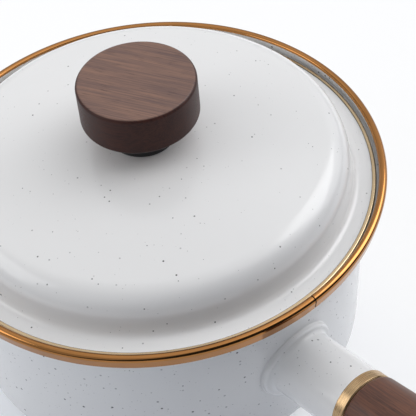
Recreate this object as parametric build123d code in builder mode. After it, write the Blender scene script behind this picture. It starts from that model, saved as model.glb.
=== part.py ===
from build123d import *
import os
from math import asin, atan2, cos, degrees, radians, sin, sqrt, tan

# Enamelled saucepan: a speckled steel pot with a gilt rim, a hollow socket that carries a walnut grip,
# and an enamelled lid with a gilt edge and a walnut knob. Millimetres. The pot stands on z = 0 with its
# axis on Z, and the handle leaves it along +X.

# Sheet and strip
sheet = 1.2  # enamelled steel of the pot, the lid and the handle socket
band_sheet = 0.45  # gilt strip rolled over the pot's lip
lid_band_sheet = 0.4  # gilt strip folded over the lid's edge
band_fit = 0.2  # air between the rim band and the round edge of the lip
strip_fit = 0.05  # air between the lid's strip and the sheet inside it

# Pot
rim_radius = 95.7  # outside of the rim band's bead
pot_height = 88.35  # table to the crest of the rim band
wall_flare = 3.7  # how far the wall opens from the table up to the ledge
base_corner = 11.4  # outer radius between the base and the wall
ledge_depth = 3.85  # lid seat below the bead's centre
ledge_bend = 2.5  # outer radius where the wall turns out to the ledge
ledge_flat = 1.85  # level part of the ledge between its two bends
lip_bend = 1.2  # inner radius where the ledge turns up to the lip
bead_radius = 1.7  # outside of the bead that the rim band is rolled into
band_tuck = 0.7  # lower edge of the rim band inside the bead's outside
band_lift = 1.05  # outer leg of the rim band above the ledge's underside
band_stop = 15.0  # degrees round the bead from the rim band's inner edge down to the inside of the lip
seam_gap = 0.5  # open butt joint of the rim band
seam_azimuth = 0.9  # degrees from the handle

# Lid
lid_gap = 1.45  # lid edge to the inside of the lip
lid_seat_gap = 0.2  # air between the lid's edge band and the ledge
lid_band_width = 1.8  # gilt border seen from above
lid_band_corner = 0.3  # rounding of the strip's two folds
flange_width = 8.4  # from where the dome's wall would meet the flange to the sheet's edge
dome_height = 24.2  # flange to the middle of the crown
crown_drop = 7.6  # middle of the crown to where it would meet the dome's wall
dome_draft = 10.0  # degrees that the dome's wall leans in
shoulder_radius = 12.0
shoulder_share = 0.95  # most of the dome's wall that the shoulder may take up
foot_radius = 3.0

# Knob on the lid
knob_radius = 23.4
knob_height = 17.0
knob_edge = 1.4  # rounding of the knob's two edges
knob_cover = 4.6  # wood left above the hole for the screw
neck_radius = 13.5
neck_height = 10.3
neck_waist = 1.2  # how deep the neck is turned in
neck_foot = 2.0  # full-width land at each end of the neck
knob_gasket_inset = 0.4  # gasket edge inside the neck's edge
knob_gasket_thickness = 0.8
crown_clearance = 0.02  # air between the curved crown and a flat piece on it
screw_radius = 2.5
screw_hole_fit = 0.25
screw_head_overhang = 2.25  # head beyond the shank
screw_head_height = 3.0
screw_slot_width = 1.2
screw_slot_depth = 1.5
thread_fit = 0.05
insert_wall = 2.0
insert_drill = 2.0  # hole in the knob beyond its insert
insert_spare = 2.0  # insert beyond the end of the screw
washer_thickness = 1.2
lid_washer_margin = 2.75  # washer beyond the screw's head
lid_gasket_margin = 1.0  # gasket beyond the washer
lid_gasket_thickness = 1.0

# Handle, with lengths measured out from the wall along its axis
handle_drop = 0.85  # axis at the wall below the middle of the wall's straight height
handle_tilt = 7.8  # degrees up from level
socket_radius = 14.2
socket_length = 34.3
collar_thickness = 2.4
collar_fillet = 1.5  # hollow between the collar and the tube
collar_land = 0.25  # ring between the hollow and the collar's edge
collar_edge = 1.0  # rounding of the collar's edge
weld_gap = 0.05
anchor_length = 10.0
anchor_fit = 0.1
anchor_spare = 2.0  # anchor beyond the end of the bolt
ferrule_step = 0.25  # ferrule proud of the socket
ferrule_width = 4.7
ferrule_chamfer = 0.5
tenon_shoulder = 5.2  # from the socket's outside in to the tenon
tenon_fit = 0.15
grip_length = 132.0
grip_step = 0.25  # wood proud of the ferrule where the grip starts
grip_belly = 1.5  # how far the grip swells at its middle
grip_end_swell = 0.5  # how much thicker it ends than it starts
grip_start_round = 1.6
grip_end_round = 7.0
bolt_radius = 3.0
bolt_hole_fit = 0.3
bolt_head_overhang = 2.2  # head beyond the shank
bolt_head_height = 4.2
bolt_head_sink = 6.0  # head below the grip's end
bolt_socket_width = 4.0
bolt_socket_depth = 2.6
bolt_washer_margin = 1.2  # washer beyond the bolt's head
spring_washer_margin = 0.2  # spring washer beyond the bolt's head
spring_washer_thickness = 1.6
spring_washer_split = 1.2
counterbore_room = 0.6  # air round the washer

# Heights and radii that follow
bead_z = pot_height - bead_radius
bead_r = rim_radius - bead_radius
roll_radius = bead_radius - band_sheet - band_fit  # round edge of the lip, inside the rim band
lip_inner = bead_r - roll_radius
lip_outer = lip_inner + sheet
ledge_top = bead_z - ledge_depth
ledge_under = ledge_top - sheet
ledge_width = ledge_bend + ledge_flat + lip_bend + sheet
wall_top_radius = lip_outer - ledge_width
wall_foot_radius = wall_top_radius - wall_flare
band_bottom = ledge_under + band_lift
band_rise = bead_z - band_bottom
band_reach = sqrt((bead_radius - band_tuck) ** 2 + band_rise**2)  # lower edge to the bead's centre
band_lean = atan2(band_rise, band_tuck - bead_radius) - asin(bead_radius / band_reach)
band_angle = degrees(band_lean)  # outer leg from level, so that it runs into the bead
seam_angle = degrees(seam_gap / rim_radius)

lid_radius = lip_inner - lid_gap
lid_edge = lid_radius - lid_band_sheet - strip_fit
lid_edge_round = sheet / 3
lid_band_bottom = ledge_top + lid_seat_gap
flange_top = lid_band_bottom + lid_band_sheet + sheet
lid_band_top = flange_top + lid_band_sheet
crown_top = flange_top + dome_height
dome_foot = lid_edge - flange_width
dome_corner = dome_foot - (dome_height - crown_drop) * tan(radians(dome_draft))
dome_wall = (dome_height - crown_drop) / cos(radians(dome_draft))
crown_radius = (dome_corner**2 + crown_drop**2) / (2 * crown_drop)
crown_angle = degrees(asin(dome_corner / crown_radius))
foot_turn = 90 - dome_draft
shoulder_turn = foot_turn - crown_angle
foot_tangent = foot_radius * tan(radians(foot_turn / 2))
shoulder_room = (dome_wall - foot_tangent) / tan(radians(shoulder_turn / 2))
dome_shoulder = min(shoulder_radius, shoulder_share * shoulder_room)

screw_hole = screw_radius + screw_hole_fit
screw_head_radius = screw_radius + screw_head_overhang
knob_gasket_bottom = crown_top + crown_clearance
neck_bottom = knob_gasket_bottom + knob_gasket_thickness
knob_bottom = neck_bottom + neck_height
insert_radius = screw_radius + insert_wall
insert_length = knob_height - knob_cover - insert_drill
screw_bite = insert_length - insert_spare
lid_washer_radius = screw_head_radius + lid_washer_margin
lid_gasket_radius = lid_washer_radius + lid_gasket_margin
under_crown = crown_top - crown_radius + sqrt((crown_radius - sheet) ** 2 - lid_gasket_radius**2)
lid_gasket_top = under_crown - crown_clearance
lid_washer_top = lid_gasket_top - lid_gasket_thickness
screw_head_top = lid_washer_top - washer_thickness

handle_height = (base_corner + ledge_under - ledge_bend) / 2 - handle_drop
wall_slope = wall_flare / ledge_under
wall_at_handle = wall_foot_radius + wall_slope * handle_height
wall_gap_x = weld_gap / cos(atan2(wall_flare, ledge_under))
collar_x = (weld_gap + collar_thickness) / cos(atan2(wall_flare, ledge_under))
tilt = radians(handle_tilt)
handle_root = (wall_at_handle, 0, handle_height)
handle_direction = (cos(tilt), 0, sin(tilt))
handle_axis = Axis(handle_root, handle_direction)
handle_side = Plane(origin=handle_root, x_dir=handle_direction, z_dir=(0, -1, 0))
handle_cross = Plane(origin=handle_root, x_dir=(0, 1, 0), z_dir=handle_direction)
socket_bore = socket_radius - sheet
wall_lean = degrees(asin(socket_radius / wall_at_handle))  # how far the wall has turned away beside the tube
collar_reach = tan(radians((90 + wall_lean) / 2))  # width of a rounding there, per radius
collar_radius = socket_radius + (collar_fillet + collar_edge) * collar_reach + collar_land
socket_sink = collar_radius  # the tube starts this far inside the wall and is trimmed by it
anchor_start = socket_length - anchor_length
bolt_start = anchor_start + anchor_spare
ferrule_radius = socket_radius + ferrule_step
tenon_radius = socket_radius - tenon_shoulder
grip_start = socket_length + ferrule_width
grip_end = grip_start + grip_length
grip_start_radius = ferrule_radius + grip_step
grip_belly_radius = grip_start_radius + grip_belly
grip_end_radius = grip_start_radius + grip_end_swell
bolt_hole = bolt_radius + bolt_hole_fit
bolt_head_radius = bolt_radius + bolt_head_overhang
bolt_washer_radius = bolt_head_radius + bolt_washer_margin
spring_washer_radius = bolt_head_radius + spring_washer_margin
counterbore_radius = bolt_washer_radius + counterbore_room
bolt_head_start = grip_end - bolt_head_sink - bolt_head_height
spring_washer_start = bolt_head_start - spring_washer_thickness
counterbore_floor = spring_washer_start - washer_thickness

os.makedirs("parts", exist_ok=True)

# Pot: base, leaning wall, ledge for the lid and upright lip with a round edge, all one sheet
with BuildPart() as pot_shell:
    with BuildSketch(Plane.XZ):
        with BuildLine():
            FilletPolyline(
                (0, 0),
                (wall_foot_radius, 0),
                (wall_top_radius, ledge_under),
                (lip_outer, ledge_under),
                (lip_outer, bead_z),
                radius=[base_corner, ledge_bend, lip_bend + sheet],
            )
            offset(amount=sheet, side=Side.LEFT)
        make_face()
        with Locations((bead_r, bead_z)):
            Circle(roll_radius)
    revolve(axis=Axis.Z)
pot_shell.part.label = "pot_shell"
export_step(pot_shell.part, "parts/pot_shell.step")

# Rim band: a strip rolled over the lip, its ends meeting in an open joint above the handle
seam_start = radians(seam_azimuth + seam_angle / 2)
seam_plane = Plane(
    origin=(0, 0, 0),
    x_dir=(cos(seam_start), sin(seam_start), 0),
    z_dir=(sin(seam_start), -cos(seam_start), 0),
)
with BuildPart() as rim_band:
    with BuildSketch(seam_plane):
        with BuildLine():
            bead = CenterArc((bead_r, bead_z), bead_radius, band_angle - 90, 270 - band_stop - band_angle)
            Line((rim_radius - band_tuck, band_bottom), bead @ 0)
            offset(amount=band_sheet, side=Side.LEFT)
        make_face()
    revolve(axis=Axis.Z, revolution_arc=360 - seam_angle)
rim_band.part.label = "rim_band"
export_step(rim_band.part, "parts/rim_band.step")

# Handle socket: a tube with a raised collar that follows the wall, trimmed by the wall and bored.
# Its wall sections are turned from the far side of the pot, so that no seam line crosses the collar.
far_side = Plane(origin=(0, 0, 0), x_dir=(-1, 0, 0), z_dir=(0, 1, 0))
with BuildPart() as handle_socket:
    with BuildSketch(far_side):
        with BuildLine():
            Polyline(
                (wall_foot_radius + wall_gap_x, 0),
                (wall_foot_radius + collar_x, 0),
                (wall_top_radius + collar_x, ledge_under),
                (wall_top_radius + wall_gap_x, ledge_under),
                close=True,
            )
        make_face()
    revolve(axis=Axis.Z)
    with BuildSketch(handle_cross.offset(-socket_sink)):
        Circle(collar_radius)
    extrude(amount=2 * socket_sink, mode=Mode.INTERSECT)
    collar_rim = handle_socket.faces().sort_by(Axis.X)[-1].edges()
    fillet(collar_rim, collar_edge)
    with BuildSketch(handle_cross.offset(-socket_sink)):
        Circle(socket_radius)
    extrude(amount=socket_sink + socket_length)
    with BuildSketch(far_side):
        with BuildLine():
            Polyline(
                (0, 0),
                (wall_foot_radius + wall_gap_x, 0),
                (wall_top_radius + wall_gap_x, ledge_under),
                (0, ledge_under),
                close=True,
            )
        make_face()
    revolve(axis=Axis.Z, mode=Mode.SUBTRACT)
    tube_face = handle_socket.faces().filter_by(GeomType.CYLINDER).sort_by(handle_axis)[-1]
    fillet(tube_face.edges().sort_by(handle_axis)[0], collar_fillet)
    with BuildSketch(handle_cross.offset(-socket_sink)):
        Circle(socket_bore)
    extrude(amount=socket_sink + socket_length, mode=Mode.SUBTRACT)
handle_socket.part.label = "handle_socket"
export_step(handle_socket.part, "parts/handle_socket.step")

# Socket anchor: a tapped plug brazed into the mouth of the socket
with BuildPart() as socket_anchor:
    with BuildSketch(handle_cross.offset(anchor_start)):
        Circle(socket_bore - anchor_fit)
        Circle(bolt_radius + thread_fit, mode=Mode.SUBTRACT)
    extrude(amount=anchor_length)
socket_anchor.part.label = "socket_anchor"
export_step(socket_anchor.part, "parts/socket_anchor.step")

# Ferrule: the gilt ring clamped between the socket and the grip
with BuildPart() as handle_ferrule:
    with BuildSketch(handle_cross.offset(socket_length)):
        Circle(ferrule_radius)
        Circle(tenon_radius + tenon_fit, mode=Mode.SUBTRACT)
    extrude(amount=ferrule_width)
    ferrule_end = handle_ferrule.faces().sort_by(handle_axis)[-1]
    chamfer(ferrule_end.edges().sort_by(SortBy.LENGTH)[-1], ferrule_chamfer)
handle_ferrule.part.label = "handle_ferrule"
export_step(handle_ferrule.part, "parts/handle_ferrule.step")

# Grip: turned walnut with a tenon through the ferrule, drilled for the bolt and counterbored at its end
with BuildPart() as handle_grip:
    with BuildSketch(handle_side) as grip_section:
        with BuildLine():
            Line((socket_length, 0), (socket_length, tenon_radius))
            Line((socket_length, tenon_radius), (grip_start, tenon_radius))
            Line((grip_start, tenon_radius), (grip_start, grip_start_radius))
            ThreePointArc(
                (grip_start, grip_start_radius),
                ((grip_start + grip_end) / 2, grip_belly_radius),
                (grip_end, grip_end_radius),
            )
            Line((grip_end, grip_end_radius), (grip_end, 0))
            Line((grip_end, 0), (socket_length, 0))
        make_face()
        fillet(grip_section.vertices().sort_by(Axis.Y)[-2:].sort_by(Axis.X)[0], grip_start_round)
        fillet(grip_section.vertices().group_by(Axis.X)[-1].sort_by(Axis.Y)[-1], grip_end_round)
    revolve(axis=handle_axis)
    with BuildSketch(handle_cross.offset(socket_length)):
        Circle(bolt_hole)
    extrude(amount=ferrule_width + grip_length, mode=Mode.SUBTRACT)
    with BuildSketch(handle_cross.offset(counterbore_floor)):
        Circle(counterbore_radius)
    extrude(amount=grip_end - counterbore_floor, mode=Mode.SUBTRACT)
handle_grip.part.label = "handle_grip"
export_step(handle_grip.part, "parts/handle_grip.step")

# Bolt washer, at the floor of the counterbore
with BuildPart() as bolt_washer:
    with BuildSketch(handle_cross.offset(counterbore_floor)):
        Circle(bolt_washer_radius)
        Circle(bolt_hole, mode=Mode.SUBTRACT)
    extrude(amount=washer_thickness)
bolt_washer.part.label = "bolt_washer"
export_step(bolt_washer.part, "parts/bolt_washer.step")

# Spring washer: a split ring that keeps the bolt tight as the wood dries
with BuildPart() as spring_washer:
    with BuildSketch(handle_cross.offset(spring_washer_start)):
        Circle(spring_washer_radius)
        Circle(bolt_hole, mode=Mode.SUBTRACT)
        with Locations((0, spring_washer_radius / 2)):
            Rectangle(spring_washer_split, spring_washer_radius, mode=Mode.SUBTRACT)
    extrude(amount=spring_washer_thickness)
spring_washer.part.label = "spring_washer"
export_step(spring_washer.part, "parts/spring_washer.step")

# Handle bolt: pulls the grip, the ferrule and the socket together
with BuildPart() as handle_bolt:
    with BuildSketch(handle_cross.offset(bolt_start)):
        Circle(bolt_radius)
    extrude(amount=bolt_head_start - bolt_start)
    with BuildSketch(handle_cross.offset(bolt_head_start)):
        Circle(bolt_head_radius)
    extrude(amount=bolt_head_height)
    with BuildSketch(handle_cross.offset(bolt_head_start + bolt_head_height)):
        RegularPolygon(bolt_socket_width / 2, 6, major_radius=False)
    extrude(amount=-bolt_socket_depth, mode=Mode.SUBTRACT)
handle_bolt.part.label = "handle_bolt"
export_step(handle_bolt.part, "parts/handle_bolt.step")

# Lid: crown, rounded shoulder, steep wall, hollow foot and flat flange, with a hole for the knob's screw
with BuildPart() as lid_shell:
    with BuildSketch(Plane.XZ) as lid_section:
        with BuildLine() as lid_line:
            CenterArc((0, crown_top - crown_radius), crown_radius, 90 - crown_angle, crown_angle)
            Line((dome_corner, crown_top - crown_drop), (dome_foot, flange_top))
            Line((dome_foot, flange_top), (lid_edge, flange_top))
            fillet(lid_line.vertices().sort_by(Axis.X)[1], dome_shoulder)
            fillet(lid_line.vertices().sort_by(Axis.X)[-2], foot_radius)
            offset(amount=sheet, side=Side.LEFT)
        make_face()
        fillet(lid_section.vertices().sort_by(Axis.X)[-2:], lid_edge_round)
    revolve(axis=Axis.Z)
    with BuildSketch(Plane.XY.offset(flange_top)):
        Circle(screw_hole)
    extrude(amount=2 * dome_height, mode=Mode.SUBTRACT)
lid_shell.part.label = "lid_shell"
export_step(lid_shell.part, "parts/lid_shell.step")

# Lid edge band: a strip folded over the flange
with BuildPart() as lid_edge_band:
    with BuildSketch(Plane.XZ) as lid_band_section:
        with Locations((lid_radius, lid_band_bottom)):
            Rectangle(lid_band_width, lid_band_top - lid_band_bottom, align=(Align.MAX, Align.MIN))
        fillet(lid_band_section.vertices().group_by(Axis.X)[-1], lid_band_corner)
        with Locations((lid_radius - lid_band_sheet, lid_band_bottom + lid_band_sheet)):
            Rectangle(lid_band_width, sheet, align=(Align.MAX, Align.MIN), mode=Mode.SUBTRACT)
    revolve(axis=Axis.Z)
lid_edge_band.part.label = "lid_edge_band"
export_step(lid_edge_band.part, "parts/lid_edge_band.step")

# Knob gasket: keeps the neck off the enamel
with BuildPart() as knob_gasket:
    with BuildSketch(Plane.XY.offset(knob_gasket_bottom)):
        Circle(neck_radius - knob_gasket_inset)
        Circle(screw_hole, mode=Mode.SUBTRACT)
    extrude(amount=knob_gasket_thickness)
knob_gasket.part.label = "knob_gasket"
export_step(knob_gasket.part, "parts/knob_gasket.step")

# Knob neck: a dark spacer turned in at the waist, which lifts the knob for the fingers
with BuildPart() as knob_neck:
    with BuildSketch(Plane.XZ):
        with BuildLine():
            Polyline(
                (neck_radius, neck_bottom + neck_foot),
                (neck_radius, neck_bottom),
                (screw_hole, neck_bottom),
                (screw_hole, knob_bottom),
                (neck_radius, knob_bottom),
                (neck_radius, knob_bottom - neck_foot),
            )
            ThreePointArc(
                (neck_radius, knob_bottom - neck_foot),
                (neck_radius - neck_waist, (neck_bottom + knob_bottom) / 2),
                (neck_radius, neck_bottom + neck_foot),
            )
        make_face()
    revolve(axis=Axis.Z)
knob_neck.part.label = "knob_neck"
export_step(knob_neck.part, "parts/knob_neck.step")

# Knob: a turned walnut disc, drilled from below for its insert
with BuildPart() as lid_knob:
    with BuildSketch(Plane.XY.offset(knob_bottom)):
        Circle(knob_radius)
    extrude(amount=knob_height)
    fillet(lid_knob.edges().filter_by(GeomType.CIRCLE), knob_edge)
    with BuildSketch(Plane.XY.offset(knob_bottom)):
        Circle(insert_radius + thread_fit)
    extrude(amount=insert_length, mode=Mode.SUBTRACT)
    with BuildSketch(Plane.XY.offset(knob_bottom + insert_length)):
        Circle(screw_hole)
    extrude(amount=insert_drill, mode=Mode.SUBTRACT)
lid_knob.part.label = "lid_knob"
export_step(lid_knob.part, "parts/lid_knob.step")

# Knob insert: the tapped brass sleeve in the knob
with BuildPart() as knob_insert:
    with BuildSketch(Plane.XY.offset(knob_bottom)):
        Circle(insert_radius)
        Circle(screw_radius + thread_fit, mode=Mode.SUBTRACT)
    extrude(amount=insert_length)
knob_insert.part.label = "knob_insert"
export_step(knob_insert.part, "parts/knob_insert.step")

# Lid gasket: seals the screw hole from below
with BuildPart() as lid_gasket:
    with BuildSketch(Plane.XY.offset(lid_gasket_top)):
        Circle(lid_gasket_radius)
        Circle(screw_hole, mode=Mode.SUBTRACT)
    extrude(amount=-lid_gasket_thickness)
lid_gasket.part.label = "lid_gasket"
export_step(lid_gasket.part, "parts/lid_gasket.step")

# Lid washer, between the gasket and the screw's head
with BuildPart() as lid_washer:
    with BuildSketch(Plane.XY.offset(lid_washer_top)):
        Circle(lid_washer_radius)
        Circle(screw_hole, mode=Mode.SUBTRACT)
    extrude(amount=-washer_thickness)
lid_washer.part.label = "lid_washer"
export_step(lid_washer.part, "parts/lid_washer.step")

# Knob screw: slotted head under the lid, thread in the knob's insert
with BuildPart() as knob_screw:
    with BuildSketch(Plane.XY.offset(screw_head_top)):
        Circle(screw_head_radius)
    extrude(amount=-screw_head_height)
    with BuildSketch(Plane.XY.offset(screw_head_top)):
        Circle(screw_radius)
    extrude(amount=knob_bottom + screw_bite - screw_head_top)
    with BuildSketch(Plane.XY.offset(screw_head_top - screw_head_height)):
        Rectangle(2 * screw_head_radius, screw_slot_width)
    extrude(amount=screw_slot_depth, mode=Mode.SUBTRACT)
knob_screw.part.label = "knob_screw"
export_step(knob_screw.part, "parts/knob_screw.step")
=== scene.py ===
"""Looks of a lidded enamel saucepan: speckled enamel, gilt strips, a brass ferrule and turned walnut.

Every piece is a profile carried round an axis, in metres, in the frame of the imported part.
"""

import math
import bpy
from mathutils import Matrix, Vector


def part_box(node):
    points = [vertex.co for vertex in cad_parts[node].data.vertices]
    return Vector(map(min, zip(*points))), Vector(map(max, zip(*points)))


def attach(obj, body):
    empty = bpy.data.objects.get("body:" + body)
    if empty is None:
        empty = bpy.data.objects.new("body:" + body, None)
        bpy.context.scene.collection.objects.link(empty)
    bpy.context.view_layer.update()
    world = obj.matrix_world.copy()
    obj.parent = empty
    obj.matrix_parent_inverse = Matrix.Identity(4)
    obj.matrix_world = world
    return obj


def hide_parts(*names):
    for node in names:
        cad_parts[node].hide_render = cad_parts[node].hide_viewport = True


bl_info = {
    "name": "Enamel Saucepan",
    "version": (1, 0, 0),
    "blender": (4, 5, 0),
    "location": "View3D > Sidebar > Saucepan",
    "description": "Builds the enamel, gilt, brass and walnut surfaces of a lidded saucepan around its frame",
    "category": "Add Mesh",
}

import bmesh
import bpy
import numpy as np
from bpy.props import FloatProperty, FloatVectorProperty, PointerProperty
from mathutils import Quaternion, Vector

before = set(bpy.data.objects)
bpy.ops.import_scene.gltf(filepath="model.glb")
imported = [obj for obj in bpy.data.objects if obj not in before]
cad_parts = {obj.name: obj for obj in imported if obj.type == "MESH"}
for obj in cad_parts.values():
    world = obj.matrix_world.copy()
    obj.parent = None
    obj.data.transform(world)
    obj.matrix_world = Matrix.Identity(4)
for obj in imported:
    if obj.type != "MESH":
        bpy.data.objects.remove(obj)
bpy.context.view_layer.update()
MM = 0.001


def extent(node):
    """A frame node's largest distance from the pot's upright axis, and its lowest and highest level."""
    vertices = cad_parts[node].data.vertices
    points = np.empty(3 * len(vertices), np.float32)
    vertices.foreach_get("co", points)
    low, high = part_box(node)
    return float(np.hypot(points[0::3], points[1::3]).max()), low.z, high.z


# Settings

RIM_RADIUS, RIM_BOTTOM, RIM_TOP = extent("rim_band")
LID_RADIUS, LID_BOTTOM, LID_TOP = extent("lid_edge_band")


def length(name, description, mm):
    """A size that a user may change, given here in millimetres."""
    return FloatProperty(name=name, description=description, default=mm * MM, precision=5, unit="LENGTH")


def angle(name, description, degrees):
    """An angle that a user may change, given here in degrees."""
    return FloatProperty(name=name, description=description, default=math.radians(degrees), subtype="ANGLE")


def amount(name, description, default, **kind):
    """A plain number that a user may change."""
    return FloatProperty(name=name, description=description, default=default, **kind)


def colour(name, description, default):
    """A colour that a user may change, in linear light."""
    return FloatVectorProperty(
        name=name, description=description, default=default, min=0.0, max=1.0, subtype="COLOR"
    )


def place(name, description, default):
    """A point that a user may change, in metres."""
    return FloatVectorProperty(
        name=name, description=description, default=default, subtype="TRANSLATION", unit="LENGTH"
    )


class PotSizes(bpy.types.PropertyGroup):
    """Sheet of the pot and the strip rolled over its lip."""

    sheet: length("Sheet", "Thickness of the enamelled sheet", 1.2)
    rim_radius: length("Rim radius", "Outside of the rim strip's bead", RIM_RADIUS / MM)
    height: length("Height", "Table to the crest of the rim strip", RIM_TOP / MM)
    wall_flare: length("Wall flare", "How far the wall opens from the table up to the ledge", 3.7)
    base_corner: length("Base corner", "Outer radius between the base and the wall", 11.4)
    ledge_depth: length("Ledge depth", "Lid seat below the bead's centre", 3.85)
    ledge_bend: length("Ledge bend", "Outer radius where the wall turns out to the ledge", 2.5)
    ledge_flat: length("Ledge flat", "Level part of the ledge between its bends", 1.85)
    lip_bend: length("Lip bend", "Inner radius where the ledge turns up to the lip", 1.2)
    strip: length("Strip", "Thickness of the gilt strip", 0.45)
    strip_fit: length("Strip fit", "Air between the strip and the lip's round edge", 0.2)
    bead: length("Bead", "Radius of the bead that the strip is rolled into", 1.7)
    strip_tuck: length("Strip tuck", "Lower edge of the strip inside the bead's outside", 0.7)
    strip_bottom: length("Strip bottom", "Lower edge of the strip's outer leg", RIM_BOTTOM / MM)
    strip_stop: angle("Strip stop", "Round the bead from the strip's inner edge down to the lip", 15.0)
    strip_edge: length("Strip edge", "Rounding of the strip's cut edges", 0.12)
    seam_gap: length("Seam gap", "Open joint between the strip's ends", 0.5)
    seam_azimuth: angle("Seam azimuth", "Direction of the joint from the handle", 0.9)


class LidSizes(bpy.types.PropertyGroup):
    """Sheet of the lid, its folded strip, its neck and its knob."""

    radius: length("Radius", "Outside of the strip on the lid's edge", LID_RADIUS / MM)
    strip_bottom: length("Strip bottom", "Underside of the lid's strip", LID_BOTTOM / MM)
    strip_top: length("Strip top", "Upper face of the lid's strip", LID_TOP / MM)
    strip: length("Strip", "Thickness of the strip", 0.4)
    strip_width: length("Strip width", "Gilt border seen from above", 1.8)
    strip_fold: length("Strip fold", "Rounding of the strip's two folds", 0.75)
    strip_fit: length("Strip fit", "Air between the strip and the sheet's edge", 0.05)
    sheet: length("Sheet", "Thickness of the enamelled sheet", 1.2)
    crown_top: length("Crown top", "Height of the lid's middle", extent("lid_shell")[2] / MM)
    flange_width: length("Flange width", "Foot of the dome's wall to the sheet's edge", 8.4)
    crown_drop: length("Crown drop", "Middle of the crown to where it would meet the wall", 7.6)
    dome_draft: angle("Dome draft", "How far the dome's wall leans in", 10.0)
    shoulder: length("Shoulder", "Radius between the crown and the dome's wall", 12.0)
    foot: length("Foot", "Hollow radius between the dome's wall and the flange", 3.0)
    screw_hole: length("Screw hole", "Radius of the hole for the knob's screw", 2.75)
    neck_waist: length("Neck waist", "How deep the neck is turned in", 1.2)
    neck_land: length("Neck land", "Full-width land at each end of the neck", 2.0)
    knob_edge: length("Knob edge", "Rounding of the knob's two edges", 1.4)
    knob_grain: angle("Knob grain", "Direction of the knob's grain from the handle", 28.0)
    insert_hole: length("Insert hole", "Radius of the hole for the knob's sleeve", 4.55)
    insert_depth: length("Insert depth", "Depth of the hole for the knob's sleeve", 10.4)
    drill_depth: length("Drill depth", "Narrow hole beyond the sleeve", 2.0)


class HandleSizes(bpy.types.PropertyGroup):
    """Socket, ferrule and grip, with lengths measured out from the wall along the handle's axis."""

    height: length("Height", "Handle's axis where it leaves the wall", 44.4)
    tilt: angle("Tilt", "Handle's rise from level", 7.8)
    socket_radius: length("Socket radius", "Outside of the enamelled tube", 14.2)
    socket_bore: length("Socket bore", "Inside of the enamelled tube", 13.0)
    socket_length: length("Socket length", "Wall to the tube's mouth", 34.3)
    socket_edge: length("Socket edge", "Rounding of the tube's mouth", 0.35)
    collar_radius: length("Collar radius", "Edge of the raised collar", 17.4)
    collar_thickness: length("Collar thickness", "Collar's face above the wall", 2.4)
    collar_edge: length("Collar edge", "Rounding of the collar's edge", 1.0)
    collar_hollow: length("Collar hollow", "Hollow between the collar and the tube", 1.5)
    weld_gap: length("Weld gap", "Air between the collar and the wall", 0.05)
    weld_fillet: length("Weld fillet", "Enamel that has run into the collar's foot", 0.5)
    ferrule_radius: length("Ferrule radius", "Outside of the brass ring", 14.45)
    ferrule_bore: length("Ferrule bore", "Inside of the brass ring", 9.15)
    ferrule_width: length("Ferrule width", "Length of the brass ring", 4.7)
    ferrule_chamfer: length("Ferrule chamfer", "Bevel beside the wood", 0.5)
    ferrule_edge: length("Ferrule edge", "Rounding of the ring's other edges", 0.15)
    tenon_radius: length("Tenon radius", "Tenon that passes through the ferrule", 9.0)
    grip_length: length("Grip length", "Ferrule to the grip's end", 132.0)
    grip_start: length("Grip start", "Grip's radius at the ferrule", 14.7)
    grip_belly: length("Grip belly", "Grip's radius at its middle", 16.2)
    grip_end: length("Grip end", "Grip's radius at its far end", 15.2)
    grip_start_round: length("Grip start round", "Rounding beside the ferrule", 1.6)
    grip_end_round: length("Grip end round", "Rounding of the far end", 7.0)
    bolt_hole: length("Bolt hole", "Radius of the hole for the bolt", 3.3)
    counterbore: length("Counterbore", "Radius of the hole for the bolt's head", 7.0)
    counterbore_depth: length("Counterbore depth", "Grip's end to the floor of that hole", 13.0)
    wood_edge: length("Wood edge", "Rounding of the drilled edges", 0.3)


class FinishColours(bpy.types.PropertyGroup):
    """Colours of the finishes."""

    enamel: colour("Enamel", "White of the enamel", (0.80, 0.80, 0.80))
    speck: colour("Speck", "Dark specks in the enamel", (0.075, 0.075, 0.085))
    gilt: colour("Gilt", "Strip on the pot's rim", (0.39, 0.178, 0.058))
    lid_gilt: colour("Lid gilt", "Strip on the lid's edge", (0.52, 0.40, 0.25))
    brass: colour("Brass", "Ferrule", (0.52, 0.36, 0.20))
    walnut_dark: colour("Dark walnut", "Late wood", (0.082, 0.040, 0.031))
    walnut_light: colour("Light walnut", "Early wood", (0.168, 0.072, 0.044))
    neck: colour("Neck", "Matt spacer under the knob", (0.012, 0.012, 0.013))
    steel: colour("Steel", "Bolt, screw and washers", (0.56, 0.57, 0.58))
    rubber: colour("Rubber", "Gaskets", (0.03, 0.03, 0.032))


class StageLook(bpy.types.PropertyGroup):
    """Camera, floor and light."""

    camera_place: place("Camera", "Where the camera stands", (0.33691, -0.22317, 0.48468))
    camera_aim: place("Aim", "Point that the camera looks at", (0.004264, 0.024672, 0.051186))
    camera_roll: angle("Roll", "Camera's turn about its line of sight", -5.81)
    lens: amount("Lens", "Focal length in millimetres", 121.15, unit="CAMERA")
    floor: colour("Floor", "Pale floor", (0.89, 0.93, 1.0))
    floor_white: amount("Floor white", "Share of white that the floor shows", 0.84, subtype="FACTOR")
    floor_shaded: amount("Floor shaded", "That share in front of the pan", 0.15, subtype="FACTOR")
    sky: colour("Sky", "Tint of the studio's light", (0.98, 0.985, 1.0))
    sky_even: amount("Even sky", "Light from all round", 0.53)
    sky_side: amount("Side sky", "Extra light from the right of the view", 1.8)
    sky_way: place("Side", "Direction of the extra light", (0.478, 0.722, 0.5))
    curtain: colour("Curtain", "Dark curtain behind the camera", (0.05, 0.055, 0.07))


class SaucepanSettings(bpy.types.PropertyGroup):
    """All settings of the saucepan."""

    pot: PointerProperty(type=PotSizes)
    lid: PointerProperty(type=LidSizes)
    handle: PointerProperty(type=HandleSizes)
    colours: PointerProperty(type=FinishColours)
    stage: PointerProperty(type=StageLook)


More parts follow.
